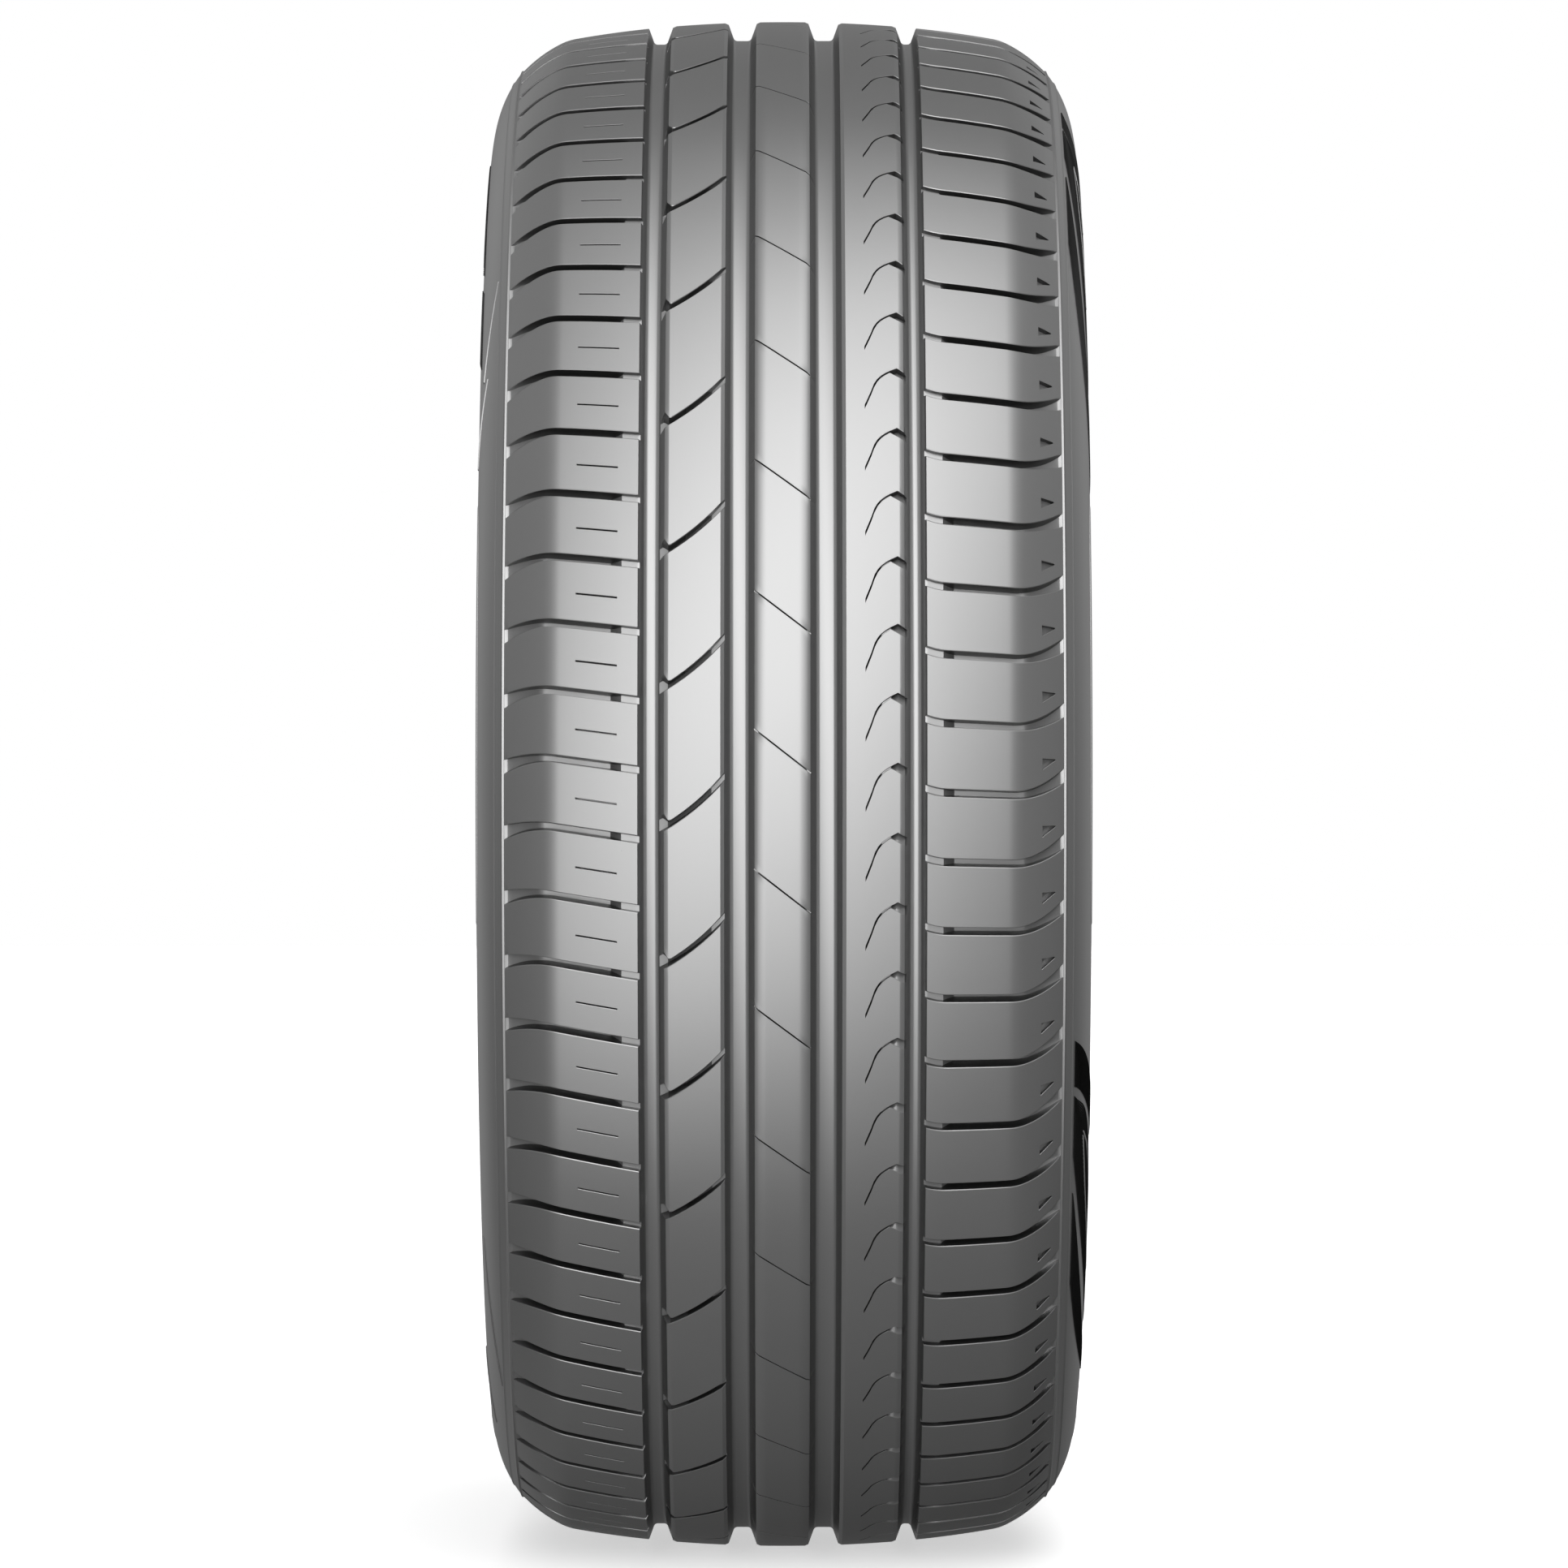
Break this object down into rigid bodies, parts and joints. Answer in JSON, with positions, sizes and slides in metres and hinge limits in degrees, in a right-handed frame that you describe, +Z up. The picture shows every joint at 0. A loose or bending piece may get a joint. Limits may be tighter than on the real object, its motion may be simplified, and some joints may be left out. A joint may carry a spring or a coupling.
{
  "type": "car tyre",
  "caption": "Radial tyre for a family car wheel, with ribbed asymmetric tread, grooved shoulders, smooth sidewalls and two beads that seat on the rim.",
  "frame": {"origin": "wheel centre: on the spin axis, midway between the sidewalls", "axes": "+Y along the spin axis towards the side that faces out on the car, +Z up, +X towards the camera of the picture"},
  "size_m": [0.6532, 0.246, 0.6532],
  "materials": {
    "rubber": "matte moulded rubber"
  },
  "bodies": {
    "root": {"tyre": "rubber"}
  },
  "joints": []
}
